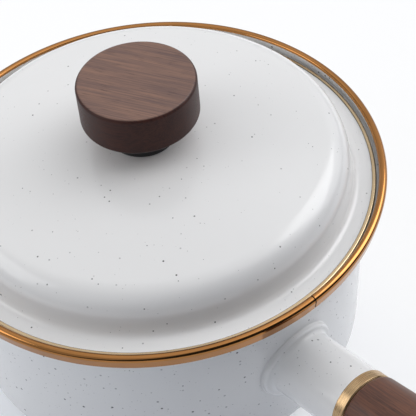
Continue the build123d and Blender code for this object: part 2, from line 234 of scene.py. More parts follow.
# Outlines, in the plane of the distance from an axis and the height along it

ARC_STEPS = 10
RUN_INSET = 0.15 * MM
LONG_RUN = 4 * RUN_INSET


def unit(vectors):
    """Vectors divided by their lengths."""
    return vectors / np.linalg.norm(vectors, axis=-1, keepdims=True)


def arc(centre, radius, start, end, steps=ARC_STEPS):
    """Points of a circle, centre + radius (cos a, sin a), for angles a from start to end."""
    a = np.linspace(start, end, steps + 1)
    return np.array(centre) + radius * np.column_stack((np.cos(a), np.sin(a)))


def corner_arc(before, corner, after, radius):
    """The arc tangent to a corner's two sides, or the corner itself where the radius is 0.

    Its centre is on the corner's bisector, radius / sin(half the corner's angle) away.
    """
    if not radius:
        return corner[None]
    sides = unit(np.array((before, after)) - corner)
    half = math.acos(np.clip(sides[0] @ sides[1], -1.0, 1.0)) / 2
    centre = corner + unit(sides.sum(axis=0)) * radius / math.sin(half)
    spokes = corner + sides * radius / math.tan(half) - centre
    start = math.atan2(spokes[0, 1], spokes[0, 0])
    cross = spokes[0, 0] * spokes[1, 1] - spokes[0, 1] * spokes[1, 0]
    return arc(centre, radius, start, start + math.atan2(cross, spokes[0] @ spokes[1]))


def rounded(corners, radii):
    """A polygon whose corners are rounded, each by its own radius; the ends of an open one have 0."""
    corners = np.array(corners, float)
    befores = np.roll(corners, 1, axis=0)
    afters = np.roll(corners, -1, axis=0)
    return np.concatenate([corner_arc(*bend) for bend in zip(befores, corners, afters, radii)])


def supported(outline, closed=True):
    """Adds a point close to each end of every long run, so that smooth shading leaves the run flat."""
    after = np.roll(outline, -1, axis=0)
    run = np.linalg.norm(after - outline, axis=1)
    is_long = run > LONG_RUN
    if not closed:
        is_long[-1] = False
    inset = (after - outline) * (RUN_INSET / np.maximum(run, RUN_INSET))[:, None]
    points = np.stack((outline, outline + inset, after - inset), axis=1)
    kept = np.column_stack((np.ones(len(outline), bool), is_long, is_long))
    return points[kept]


def beside(path, distance):
    """An open path moved sideways to its left.

    A corner moves by distance (n1 + n2) / (1 + n1 . n2), where n1 and n2 are its sides' left normals.
    """
    path = np.array(path, float)
    along = unit(np.diff(path, axis=0))
    normal = np.column_stack((-along[:, 1], along[:, 0]))
    before = np.concatenate((normal[:1], normal))
    after = np.concatenate((normal, normal[-1:]))
    share = 1 + np.sum(before * after, axis=1, keepdims=True)
    return path + distance * (before + after) / share


# Surfaces

TURN_STEPS = 256
FULL_TURN = np.linspace(0, math.tau, TURN_STEPS, endpoint=False)
WELD_DISTANCE = 0.0001 * MM
QUAD = 4


class Turning:
    """An axis to turn round: its origin, its direction and the two directions across it."""

    def __init__(self, origin, along, across):
        self.origin = np.array(origin, float)
        self.along = np.array(along, float)
        self.across = np.array(across, float)
        self.over = np.cross(self.along, self.across)

    def ring(self, radius, turn, height):
        """origin + radius (cos turn across + sin turn over) + height along, for arrays of all three."""
        spoke = np.cos(turn)[..., None] * self.across + np.sin(turn)[..., None] * self.over
        return self.origin + radius[..., None] * spoke + height[..., None] * self.along


UPRIGHT = Turning((0, 0, 0), (0, 0, 1), (1, 0, 0))


def grid_faces(rows, columns, wrap_rows, wrap_columns):
    """Quads between the neighbours of a grid, as four point numbers each."""
    row = np.arange(rows if wrap_rows else rows - 1)[:, None]
    column = np.arange(columns if wrap_columns else columns - 1)[None, :]
    next_row = (row + 1) % rows
    next_column = (column + 1) % columns
    rings = (row, row, next_row, next_row)
    steps = (column, next_column, next_column, column)
    corners = [ring * columns + step for ring, step in zip(rings, steps)]
    return np.stack(corners, axis=-1).reshape(-1, QUAD).tolist()


def outward(outline):
    """The outline run so that its outer side goes up, which makes the faces point outwards.

    That is the way round in which the sum of r1 h2 - r2 h1 over its sides is above 0.
    """
    after = np.roll(outline, -1, axis=0)
    area = np.sum(outline[:, 0] * after[:, 1] - after[:, 0] * outline[:, 1])
    return outline if area > 0 else outline[::-1]


def turned(outline, turning, closed=True):
    """A surface of revolution: every outline point (r, h) is carried once round the axis."""
    outline = outward(outline)
    points = turning.ring(outline[:, :1], FULL_TURN, outline[:, 1:])
    return points.reshape(-1, 3), grid_faces(len(outline), TURN_STEPS, closed, True)


def open_turned(outline, turning, start, end):
    """As turned, from one angle to another, with a flat cap on each end."""
    outline = outward(outline)
    columns = TURN_STEPS + 1
    points = turning.ring(outline[:, :1], np.linspace(start, end, columns), outline[:, 1:])
    first_cap = np.arange(len(outline)) * columns
    last_cap = first_cap[::-1] + columns - 1
    caps = [first_cap.tolist(), last_cap.tolist()]
    return points.reshape(-1, 3), grid_faces(len(outline), columns, True, False) + caps


def shade_smooth(mesh):
    """Shades a mesh smooth, apart from its caps, which have more than four sides, and their edges."""
    sides = np.empty(len(mesh.polygons), np.int32)
    mesh.polygons.foreach_get("loop_total", sides)
    edges = np.empty(len(mesh.loops), np.int32)
    mesh.loops.foreach_get("edge_index", edges)
    is_sharp = np.zeros(len(mesh.edges), bool)
    is_sharp[edges[np.repeat(sides > QUAD, sides)]] = True
    mesh.polygons.foreach_set("use_smooth", sides <= QUAD)
    mesh.edges.foreach_set("use_edge_sharp", is_sharp)


def new_object(name, data):
    """An object in the scene."""
    made = bpy.data.objects.new(name, data)
    bpy.context.scene.collection.objects.link(made)
    return made


def new_piece(name, surface, finishes, body, slot, *nodes, face_finish=None):
    """A welded mesh of a surface, smooth but for its caps, which stands for frame nodes on their body."""
    points, faces = surface
    mesh = bpy.data.meshes.new(name)
    mesh.from_pydata(points.tolist(), [], faces)
    for finish in finishes:
        mesh.materials.append(finish)
    if face_finish is not None:
        mesh.polygons.foreach_set("material_index", face_finish)
    shape = bmesh.new()
    shape.from_mesh(mesh)
    bmesh.ops.remove_doubles(shape, verts=shape.verts, dist=WELD_DISTANCE)
    shape.to_mesh(mesh)
    shape.free()
    shade_smooth(mesh)
    piece = new_object(name, mesh)
    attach(piece, body)
    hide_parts(*nodes)


# Node helpers

# The Mix node's colour sockets go by number, because their names repeat
MIX_FIRST = 6
MIX_SECOND = 7
MIX_RESULT = 2
PRINCIPLED = "Principled BSDF"


def feed(tree, socket, value):
    """Links another node's output to a socket, or sets the socket's own value."""
    if isinstance(value, bpy.types.NodeSocket):
        tree.links.new(value, socket)
    else:
        socket.default_value = value


def add(tree, kind, inputs=None, **settings):
    """Adds a shader node; inputs gives each socket a value or another node's output."""
    node = tree.nodes.new("ShaderNode" + kind)
    for name, value in settings.items():
        setattr(node, name, value)
    for key, value in (inputs or {}).items():
        feed(tree, node.inputs[key], value)
    return node


def set_inputs(owner, shader=PRINCIPLED, **inputs):
    """Feeds the sockets of a material's or world's shader, named with underscores for spaces."""
    tree = owner.node_tree
    for name, value in inputs.items():
        feed(tree, tree.nodes[shader].inputs[name.replace("_", " ")], value)
    return owner


def maths(tree, operation, first, second=0.0):
    """One sum of two numbers or outputs."""
    return add(tree, "Math", {0: first, 1: second}, operation=operation).outputs[0]


def times(tree, vector, factors):
    """A vector or colour multiplied by factors, one for each part."""
    return add(tree, "VectorMath", {0: vector, 1: factors}, operation="MULTIPLY").outputs[0]


def spread(tree, value, ends=(0.0, 1.0), to=(0.0, 1.0)):
    """Maps a value from between two ends to another range, eased at both ends and held beyond them."""
    inputs = {"Value": value, "From Min": ends[0], "From Max": ends[1], "To Min": to[0], "To Max": to[1]}
    return add(tree, "MapRange", inputs, interpolation_type="SMOOTHSTEP").outputs[0]


def blend(tree, share, first, second):
    """Mixes two colours by a share."""
    inputs = {0: share, MIX_FIRST: first, MIX_SECOND: second}
    return add(tree, "Mix", inputs, data_type="RGBA").outputs[MIX_RESULT]


def opaque(tint, brightness=1.0):
    """A colour with full alpha, brightened or darkened."""
    return (*(channel * brightness for channel in tint), 1.0)


def toned(tree, share, tint, tones):
    """A tint that goes from its darker tone to its brighter one by a share."""
    return blend(tree, share, opaque(tint, tones[0]), opaque(tint, tones[1]))


def new_finish(name):
    """A material with one Principled shader, its nodes, and the coordinates of the piece that wears it."""
    material = bpy.data.materials.new(name)
    material.use_nodes = True
    return material, material.node_tree, add(material.node_tree, "TexCoord").outputs["Object"]


def noise(tree, coords, per_metre, detail=2.0, stretch=None):
    """Noise with so many cycles per metre, drawn out where a stretch is below 1."""
    if stretch is not None:
        coords = times(tree, coords, stretch)
    return add(tree, "TexNoise", {"Vector": coords, "Scale": per_metre, "Detail": detail}).outputs["Fac"]


def bump(tree, height, strength, distance):
    """Surface relief from a height."""
    inputs = {"Height": height, "Strength": strength, "Distance": distance}
    return add(tree, "Bump", inputs).outputs["Normal"]


# Finishes

# Noise seldom leaves this range
MOST_NOISE = (0.3, 0.7)

# Specks to the metre, and the largest one's radius as a share of their spacing
POT_SPECKS = {"per_metre": 300.0, "largest": 0.19}
LID_SPECKS = {"per_metre": 260.0, "largest": 0.12}
SMALLEST_SPECK = 0.25
FAINTEST_SPECK = 0.35
SPECK_EDGE = (0.6, 1.0)

# Small specks between the others: how much closer, smaller and fainter they are
DUST_CLOSER = 1.7
DUST_SMALLER = 0.8
DUST_FAINTER = 0.6

# Painted shade on the gilt strip: tones of its inner edge and its outer fold, and the width over which they
# fade
PAINTED_EDGE_SHADE = 0.12
PAINTED_FOLD_SHADE = 0.35
EDGE_LINE = 0.3 * MM

# What figure and fibre add to the wood's tone, how dark its pores are, and what counts as a level face for
# painted light on the face and painted shade on the side
FIGURE_SHARE = 0.35
FIBRE_SHARE = 0.65
PORE_EDGE = (0.62, 0.72)
PORE_STRENGTH = 0.5
PORE_TONE = 0.45
LEVEL_FACE = (0.75, 0.99)


def specks(tree, coords, per_metre, largest):
    """Dots round scattered points, each with its own radius up to a share of the spacing."""
    cells = add(tree, "TexVoronoi", {"Vector": coords, "Scale": per_metre})
    chance = add(tree, "SeparateColor", {0: cells.outputs["Color"]})
    radius = spread(tree, chance.outputs[0], to=(SMALLEST_SPECK * largest, largest))
    ratio = maths(tree, "DIVIDE", cells.outputs["Distance"], radius)
    dot = spread(tree, ratio, SPECK_EDGE, to=(1.0, 0.0))
    strength = spread(tree, chance.outputs[1], to=(FAINTEST_SPECK, 1.0))
    return maths(tree, "MULTIPLY", dot, strength)


def enamel(name, colours, per_metre, largest):
    """Glossy white enamel with dark specks of two sizes and a faint orange peel."""
    material, tree, coords = new_finish(name)
    white = toned(tree, noise(tree, coords, per_metre=35.0), colours.enamel, tones=(0.99, 1.01))
    coarse = specks(tree, coords, per_metre, largest)
    dust = specks(tree, coords, DUST_CLOSER * per_metre, DUST_SMALLER * largest)
    dots = maths(tree, "MAXIMUM", coarse, maths(tree, "MULTIPLY", dust, DUST_FAINTER))
    return set_inputs(
        material,
        Base_Color=blend(tree, dots, white, opaque(colours.speck)),
        Roughness=spread(tree, noise(tree, coords, per_metre=90.0), to=(0.16, 0.21)),
        Normal=bump(tree, noise(tree, coords, per_metre=420.0), strength=0.05, distance=0.02 * MM),
        IOR=1.5,
    )


def gilt(name, tint, roughness, border=None):
    """Polished gold-coloured strip with faint rolling lines round it.

    A border gives two radii between which the strip is bright. Inside them its edge carries a painted dark
    line of shade against the enamel, and outside them its fold carries duller painted shade.
    """
    material, tree, coords = new_finish(name)
    lines = noise(tree, coords, per_metre=2600.0, detail=3.0, stretch=(0.01, 0.01, 1.0))
    patches = spread(tree, noise(tree, coords, per_metre=60.0), MOST_NOISE)
    gold = toned(tree, patches, tint, tones=(0.93, 1.06))
    if border is not None:
        # Painted shade: a dark line at the strip's inner edge and a duller outer fold
        inner, outer = border
        level = times(tree, coords, (1.0, 1.0, 0.0))
        radius = add(tree, "VectorMath", {0: level}, operation="LENGTH").outputs["Value"]
        edge = spread(tree, radius, (inner - EDGE_LINE, inner), to=(1.0, 0.0))
        fold = spread(tree, radius, (outer, outer + EDGE_LINE))
        gold = blend(tree, edge, gold, opaque(tint, PAINTED_EDGE_SHADE))
        gold = blend(tree, fold, gold, opaque(tint, PAINTED_FOLD_SHADE))
    return set_inputs(
        material,
        Base_Color=gold,
        Metallic=1.0,
        Roughness=spread(tree, lines, (0.25, 0.75), to=(0.8 * roughness, 1.3 * roughness)),
        Normal=bump(tree, lines, strength=0.05, distance=0.02 * MM),
    )


def brushed_brass(name, tint, tilt):
    """Brass with lathe lines round an axis that is tilted up from level."""
    material, tree, coords = new_finish(name)
    axial = add(tree, "Mapping", {"Vector": coords, "Rotation": (0.0, tilt, 0.0)}).outputs[0]
    lines = noise(tree, axial, per_metre=3800.0, detail=4.0, stretch=(1.0, 0.012, 0.012))
    patches = noise(tree, axial, per_metre=130.0, detail=3.0)
    tone = spread(tree, maths(tree, "ADD", lines, patches), (0.7, 1.3))
    return set_inputs(
        material,
        Base_Color=toned(tree, tone, tint, tones=(0.82, 1.08)),
        Metallic=1.0,
        Roughness=spread(tree, lines, MOST_NOISE, to=(0.22, 0.38)),
        Normal=bump(tree, lines, strength=0.25, distance=0.03 * MM),
    )


def walnut(name, colours, turn, shine, face=(1.0, 1.0, 1.0), side=(1.0, 1.0, 1.0)):
    """Oiled walnut with faint figure, fine grain and short dark pores along the wood.

    A level face and an upright side may be toned apart: painted light and sheen brighten and grey the face,
    and painted shade darkens the side.
    """
    material, tree, coords = new_finish(name)
    grain = add(tree, "Mapping", {"Vector": coords, "Rotation": turn}).outputs[0]
    figure = noise(tree, grain, per_metre=170.0, detail=4.0, stretch=(0.10, 1.0, 1.0))
    fibre = noise(tree, grain, per_metre=1700.0, detail=3.0, stretch=(0.025, 1.0, 1.0))
    pore = noise(tree, grain, per_metre=2600.0, detail=1.0, stretch=(0.06, 1.0, 1.0))
    broad = maths(tree, "MULTIPLY", figure, FIGURE_SHARE)
    narrow = maths(tree, "MULTIPLY", fibre, FIBRE_SHARE)
    early = spread(tree, maths(tree, "ADD", broad, narrow), MOST_NOISE)
    wood = blend(tree, early, opaque(colours.walnut_dark), opaque(colours.walnut_light))
    pores = spread(tree, pore, PORE_EDGE, to=(0.0, PORE_STRENGTH))
    wood = blend(tree, pores, wood, opaque(colours.walnut_dark, PORE_TONE))
    # Painted light on level faces and painted shade on upright sides, found from the normal
    normal = add(tree, "SeparateXYZ", {0: add(tree, "TexCoord").outputs["Normal"]})
    flatness = spread(tree, maths(tree, "ABSOLUTE", normal.outputs["Z"]), LEVEL_FACE)
    return set_inputs(
        material,
        Base_Color=times(tree, wood, blend(tree, flatness, opaque(side), opaque(face))),
        Roughness=spread(tree, fibre, MOST_NOISE, to=(0.36, 0.48)),
        Specular_IOR_Level=shine,
        Normal=bump(tree, maths(tree, "SUBTRACT", fibre, pores), strength=0.18, distance=0.06 * MM),
    )


def grained(name, tint, per_metre, detail, tones, roughness, relief, depth, metallic=0.0):
    """A plain finish with a fine, even grain in its tone, its roughness and its relief."""
    material, tree, coords = new_finish(name)
    grain = noise(tree, coords, per_metre, detail)
    return set_inputs(
        material,
        Base_Color=toned(tree, grain, tint, tones),
        Metallic=metallic,
        Roughness=spread(tree, grain, MOST_NOISE, to=roughness),
        Normal=bump(tree, grain, relief, depth),
    )


def matt_black(name, tint):
    """Matt moulded spacer."""
    grain = {"per_metre": 1800.0, "detail": 2.0, "relief": 0.2, "depth": 0.05 * MM}
    return grained(name, tint, tones=(0.8, 1.3), roughness=(0.5, 0.62), **grain)


def turned_steel(name, tint, roughness, shade=1.0):
    """Plain machined steel, darkened by painted shade where a shade is below 1."""
    grain = {"per_metre": 1400.0, "detail": 3.0, "relief": 0.12, "depth": 0.03 * MM}
    tones = (0.9 * shade, 1.08 * shade)
    rough = (0.85 * roughness, 1.2 * roughness)
    return grained(name, tint, tones=tones, roughness=rough, metallic=1.0, **grain)


def gasket_rubber(name, tint):
    """Black rubber with a dull bloom."""
    bloom = {"per_metre": 500.0, "detail": 3.0, "relief": 0.2, "depth": 0.05 * MM}
    return grained(name, tint, tones=(0.75, 1.4), roughness=(0.6, 0.75), **bloom)


# Pot

COVER_MARGIN = 0.1 * MM


def bead_centre(pot):
    """Centre of the strip's bead and of the lip's round edge inside it."""
    return np.array((pot.rim_radius - pot.bead, pot.height - pot.bead))


def roll_radius(pot):
    """Radius of the lip's round edge, which the strip wraps."""
    return pot.bead - pot.strip - pot.strip_fit


def pot_path(pot):
    """Outside of the pot's sheet, from the middle of the base to the top of the upright lip."""
    bead_radius, bead_height = bead_centre(pot)
    lip = bead_radius - roll_radius(pot) + pot.sheet
    ledge = bead_height - pot.ledge_depth - pot.sheet
    wall_top = lip - (pot.ledge_bend + pot.ledge_flat + pot.lip_bend + pot.sheet)
    return ((0, 0), (wall_top - pot.wall_flare, 0), (wall_top, ledge), (lip, ledge), (lip, bead_height))


def pot_outline(pot):
    """Outside of the sheet up to the lip, over its round edge, and the inside back down to the axis.

    The round edge is a circle that touches the lip's inside and crosses its outside.
    """
    path = pot_path(pot)
    outer = rounded(path, (0, pot.base_corner, pot.ledge_bend, pot.lip_bend + pot.sheet, 0))
    inner_radii = (0, pot.base_corner - pot.sheet, pot.ledge_bend + pot.sheet, pot.lip_bend, 0)
    inner = rounded(beside(path, pot.sheet), inner_radii)
    roll = roll_radius(pot)
    crossing = math.acos((pot.sheet - roll) / roll)
    edge = arc(bead_centre(pot), roll, -crossing, math.pi, steps=24)
    return supported(np.concatenate((outer[:-1], edge[:-1], inner[::-1])), closed=False)


def covered_faces(pot, surface):
    """1 for each face of the pot's sheet that the strip covers and 0 for the others, by their middles."""
    points, faces = surface
    middle = points[np.array(faces)].mean(axis=1)
    lip = bead_centre(pot)[0] - roll_radius(pot)
    is_outside = np.hypot(middle[:, 0], middle[:, 1]) > lip + COVER_MARGIN
    is_above = middle[:, 2] > pot.strip_bottom + COVER_MARGIN
    return (is_outside & is_above).astype(np.int32)


def rim_outline(pot):
    """The strip's section: up its outer leg, over the bead, and back inside.

    The leg is the tangent from its lower edge to the bead's circle, so it leans by the angle to the
    circle's centre less the angle whose sine is the bead's radius over that distance.
    """
    centre = bead_centre(pot)
    foot = np.array((pot.rim_radius - pot.strip_tuck, pot.strip_bottom))
    to_centre = centre - foot
    lean = math.atan2(to_centre[1], to_centre[0]) - math.asin(pot.bead / np.linalg.norm(to_centre))
    across = pot.strip * np.array((-math.sin(lean), math.cos(lean)))
    start = lean - math.pi / 2
    stop = math.pi - pot.strip_stop
    over = arc(centre, pot.bead, start, stop, steps=28)
    back = arc(centre, pot.bead - pot.strip, stop, start, steps=14)
    edges = (0, pot.strip_edge, pot.strip_edge, 0)
    leg_end = rounded((back[-1], foot + across, foot, over[0]), edges)
    inner_end = rounded((over[-2], over[-1], back[0], back[1]), edges)
    return supported(np.concatenate((over[:-2], inner_end, back[2:-1], leg_end[:-1])))


# Lid

# The strip's bright border ends, and the painted shade of its fold begins, this far inside its outer fold
BORDER_INSET = 0.5 * MM


def lid_levels(lid):
    """Radius of the sheet's edge, radius where the dome's wall meets the flange, and the flange's height."""
    edge = lid.radius - lid.strip - lid.strip_fit
    return edge, edge - lid.flange_width, lid.strip_top - lid.strip


def lid_face(lid, depth):
    """Upper face of the lid, or a face that lies deeper by depth, from the screw's hole to the edge.

    The crown is a circle about the axis. The shoulder's circle touches it from inside and touches the
    wall's line; its centre solves a quadratic along that line. The foot's circle touches wall and flange.
    """
    edge, foot_radius, flange = lid_levels(lid)
    lean = (math.sin(lid.dome_draft), math.cos(lid.dome_draft))
    rise = lid.crown_top - flange - lid.crown_drop
    corner = np.array((foot_radius - rise * lean[0] / lean[1], flange + rise))
    crown = (corner[0] ** 2 + lid.crown_drop**2) / (2 * lid.crown_drop)
    crown_centre = np.array((0, lid.crown_top - crown))
    down = np.array((lean[0], -lean[1]))
    beside_wall = corner - lid.shoulder * np.array((lean[1], lean[0])) - crown_centre
    along = beside_wall @ down
    reach = -along - math.sqrt(along**2 - beside_wall @ beside_wall + (crown - lid.shoulder) ** 2)
    spoke = beside_wall + reach * down
    shoulder_centre = crown_centre + spoke
    shoulder_start = math.atan2(spoke[1], spoke[0])
    foot_centre = (foot_radius + lid.foot * (1 - lean[0]) / lean[1], flange + lid.foot)
    hole = math.acos(lid.screw_hole / (crown - depth))
    top = arc(crown_centre, crown - depth, hole, shoulder_start, steps=40)
    shoulder = arc(shoulder_centre, lid.shoulder - depth, shoulder_start, lid.dome_draft, steps=24)
    foot = arc(foot_centre, lid.foot + depth, math.pi + lid.dome_draft, 1.5 * math.pi, steps=14)
    return np.concatenate((top, shoulder[1:], foot, ((edge, flange - depth),)))


def lid_outline(lid):
    """Upper face out to the edge and lower face back to the hole."""
    return supported(np.concatenate((lid_face(lid, 0.0), lid_face(lid, lid.sheet)[::-1])))


def lid_strip_outline(lid):
    """A strip folded round the flange's edge, open towards the axis: a path, and the path moved inwards."""
    inside = lid.radius - lid.strip_width
    bottom = lid.strip_bottom
    top = lid.strip_top
    path = ((inside, bottom), (lid.radius, bottom), (lid.radius, top), (inside, top))
    corners = np.concatenate((path, beside(path, lid.strip)[::-1]))
    edge = 0.3 * lid.strip
    return supported(rounded(corners, (edge, lid.strip_fold, lid.strip_fold, edge, edge, edge, edge, edge)))


def neck_outline(lid):
    """A bored spacer whose side is a hollow arc between two lands.

    The arc's radius is (h² + w²) / 2w, for half its height h and the depth of the waist w.
    """
    radius, bottom, top = extent("knob_neck")
    half = (top - bottom) / 2 - lid.neck_land
    hollow = (half**2 + lid.neck_waist**2) / (2 * lid.neck_waist)
    middle = (radius - lid.neck_waist + hollow, (top + bottom) / 2)
    sweep = math.asin(half / hollow)
    side = arc(middle, hollow, math.pi + sweep, math.pi - sweep, steps=16)
    edge = 0.25 * MM
    bore = lid.screw_hole
    rest = rounded(
        (side[-1], (radius, top), (bore, top), (bore, bottom), (radius, bottom), side[0]),
        (0, edge, edge, edge, edge, 0),
    )
    return supported(np.concatenate((side[1:-1], rest)))


def knob_outline(lid):
    """A disc with round edges, drilled from below in two widths, from the hole's end to the top's middle."""
    radius, bottom, top = extent("lid_knob")
    step = bottom + lid.insert_depth
    end = step + lid.drill_depth
    drill = lid.screw_hole
    sleeve = lid.insert_hole
    hole = ((0, end), (drill, end), (drill, step), (sleeve, step), (sleeve, bottom))
    disc = ((radius, bottom), (radius, top), (0, top))
    edge = 0.3 * MM
    radii = (0, edge, edge, edge, edge, lid.knob_edge, lid.knob_edge, 0)
    return supported(rounded((*hole, *disc), radii), closed=False)


# Handle


def wall_cone(pot):
    """The wall's radius at the table, and how much wider it gets for each metre up."""
    path = pot_path(pot)
    foot = path[1][0]
    return foot, (path[2][0] - foot) / path[2][1]


def handle_turning(pot, handle):
    """The handle's axis, from where it meets the pot's wall."""
    foot, slope = wall_cone(pot)
    root = (foot + slope * handle.height, 0, handle.height)
    return Turning(root, (math.cos(handle.tilt), 0, math.sin(handle.tilt)), (0, 1, 0))


def wall_distance(pot, turning, radius, turn):
    """How far along the handle's axis a line beside that axis meets the wall.

    On the line P + s D, the cone x² + y² = (r + k z)² gives a quadratic in s, whose larger root is taken.
    """
    foot, slope = wall_cone(pot)
    x, y, z = np.moveaxis(turning.ring(radius, turn, 0 * radius), -1, 0)
    dx, dy, dz = turning.along
    cone = foot + slope * z
    square = dx**2 + dy**2 - (slope * dz) ** 2
    linear = x * dx + y * dy - slope * dz * cone
    rest = x**2 + y**2 - cone**2
    return (np.sqrt(linear**2 - square * rest) - linear) / square


def socket_surface(pot, handle):
    """A tube whose collar follows the pot's wall.

    Each row has a radius, a distance and a share; it lies at distance + share times the wall's distance.
    """
    thick = handle.collar_thickness
    tube = handle.socket_radius
    mouth = handle.socket_length
    fillet = handle.weld_fillet
    collar = handle.collar_radius
    foot = arc((collar + fillet, handle.weld_gap + fillet), fillet, 1.5 * math.pi, math.pi, steps=6)
    edge_centre = (collar - handle.collar_edge, thick - handle.collar_edge)
    edge = arc(edge_centre, handle.collar_edge, 0, math.pi / 2)
    hollow_centre = (tube + handle.collar_hollow, thick + handle.collar_hollow)
    hollow = arc(hollow_centre, handle.collar_hollow, 1.5 * math.pi, math.pi)
    start = ((handle.socket_bore, handle.weld_gap),)
    on_wall = np.concatenate((start, foot, edge, hollow, hollow[-1:] + (0, RUN_INSET)))
    lip_centre = (tube - handle.socket_edge, mouth - handle.socket_edge)
    lip = arc(lip_centre, handle.socket_edge, 0, math.pi / 2, steps=6)
    free = np.concatenate((lip[:1] - (0, RUN_INSET), lip, ((handle.socket_bore, mouth),)))
    rows = np.concatenate((on_wall, free))
    share = np.repeat((1.0, 0.0), (len(on_wall), len(free)))[:, None]
    turning = handle_turning(pot, handle)
    radius = rows[:, :1]
    distance = rows[:, 1:] + share * wall_distance(pot, turning, radius, FULL_TURN)
    points = turning.ring(radius, FULL_TURN, distance)
    return points.reshape(-1, 3), grid_faces(len(rows), TURN_STEPS, True, True)


def ferrule_outline(handle):
    """A ring with a bevel beside the wood."""
    start = handle.socket_length
    end = start + handle.ferrule_width
    bore = handle.ferrule_bore
    outside = handle.ferrule_radius
    bevel = handle.ferrule_chamfer
    corners = ((bore, start), (outside, start), (outside, end - bevel), (outside - bevel, end), (bore, end))
    return supported(rounded(corners, (handle.ferrule_edge,) * len(corners)))


def grip_outline(handle):
    """A swelling handle with a tenon, a bolt hole and a counterbore.

    Its side is belly + rise t - sag t², for t from -1 to 1, through the radii at its two ends.
    """
    start = handle.socket_length + handle.ferrule_width
    end = start + handle.grip_length
    floor = end - handle.counterbore_depth
    half = handle.grip_length / 2
    rise = (handle.grip_end - handle.grip_start) / 2
    sag = handle.grip_belly - (handle.grip_start + handle.grip_end) / 2
    t = np.linspace(-1, 1, num=13)
    radius = handle.grip_belly + rise * t - sag * t**2
    side = np.column_stack((radius, start + half * (1 + t)))
    tenon = ((handle.bolt_hole, handle.socket_length), (handle.tenon_radius, handle.socket_length))
    bored = ((handle.counterbore, end), (handle.counterbore, floor), (handle.bolt_hole, floor))
    drilled = (handle.wood_edge,) * 3
    along = (handle.grip_start_round, *(0,) * (len(side) - 2), handle.grip_end_round)
    corners = (*tenon, (handle.tenon_radius, start), *side, *bored)
    return supported(rounded(corners, (*drilled, *along, *drilled)))


# Stage

NEAR_CLIP = 0.01
FLOOR_HALF = 12.0
FLOOR_LEVEL = -0.2 * MM

# Painted shade on the floor in front of the pan, which shows less white there: its middle, and where that
# begins and ends
SHADE_PLACE = (0.08, -0.16, 0.0)
SHADE_REACH = (0.05, 0.28)

CURTAIN_DISTANCE = 1.5
CURTAIN_BEARING = math.radians(85.0)
CURTAIN_LOW = math.radians(6.0)
CURTAIN_RISE = math.radians(54.0)
CURTAIN_FALL = 1.5
CURTAIN_ROWS = 9
CURTAIN_COLUMNS = 72

SIDE_LIGHT_POWER = 4.0

# Bearings and heights are in degrees. Each lamp stands a little nearer than the last, so none share a plane
SOFTBOX_DISTANCE = 1.3
SOFTBOX_STEP = 0.02
SOFTBOXES = (
    {"name": "right_softbox", "around": 160.0, "up": 24.0, "size": 0.6, "watts": 2.4, "gloss": False},
    {"name": "right_card", "around": 168.0, "up": 46.0, "size": 0.7, "watts": 5.5, "matt": False},
    {"name": "left_softbox", "around": 330.0, "up": 35.0, "size": 0.7, "watts": 3.5},
    {"name": "top_softbox", "around": 236.0, "up": 82.0, "size": 1.5, "watts": 2.45},
    {"name": "far_softbox", "around": 236.0, "up": 42.0, "size": 1.0, "watts": 0.6},
)


def set_camera(look):
    """A camera at the photograph's viewpoint."""
    data = bpy.data.cameras.new("Camera")
    data.lens = look.lens
    data.clip_start = NEAR_CLIP
    camera = new_object("Camera", data)
    camera.location = look.camera_place
    sight = Vector(look.camera_aim) - Vector(look.camera_place)
    camera.rotation_mode = "QUATERNION"
    camera.rotation_quaternion = sight.to_track_quat("-Z", "Y") @ Quaternion((0, 0, 1), look.camera_roll)
    bpy.context.scene.camera = camera


def stage_mesh(name, points, faces, finish):
    """A stage piece, which isn't part of the saucepan."""
    mesh = bpy.data.meshes.new(name)
    mesh.from_pydata(points, [], faces)
    mesh.materials.append(finish)
    piece = new_object(name, mesh)
    return piece


def direction(around, up):
    """Directions (sin a cos e, -cos a cos e, sin e), for a bearing a from the front and an angle e up."""
    return np.stack((np.sin(around) * np.cos(up), -np.cos(around) * np.cos(up), np.sin(up)), axis=-1)


def make_floor(look):
    """A wide pale floor that shows as white to the eye and in reflections, with a pool of painted shade in
    front of the pan.
    """
    material, tree, coords = new_finish("floor_white")
    tree.nodes.remove(tree.nodes[PRINCIPLED])
    path = add(tree, "LightPath")
    seen = maths(tree, "MAXIMUM", path.outputs["Is Camera Ray"], path.outputs["Is Glossy Ray"])
    seen = maths(tree, "MAXIMUM", seen, path.outputs["Is Transmission Ray"])
    away = add(tree, "VectorMath", {0: coords, 1: SHADE_PLACE}, operation="DISTANCE").outputs["Value"]
    # Less white near SHADE_PLACE: a pool of painted shade on the floor
    white_share = spread(tree, away, SHADE_REACH, to=(look.floor_shaded, look.floor_white))
    share = maths(tree, "MULTIPLY", seen, white_share)
    lit = add(tree, "BsdfDiffuse", {"Color": opaque(look.floor)})
    white = add(tree, "Emission", {"Color": (1.0, 1.0, 1.0, 1.0), "Strength": 1.0})
    mixed = add(tree, "MixShader", {0: share, 1: lit.outputs[0], 2: white.outputs[0]})
    feed(tree, tree.nodes["Material Output"].inputs["Surface"], mixed.outputs[0])
    corners = FLOOR_HALF * np.array(((-1, -1, 0), (1, -1, 0), (1, 1, 0), (-1, 1, 0))) + (0, 0, FLOOR_LEVEL)
    stage_mesh("floor", corners.tolist(), [(0, 1, 2, 3)], material)


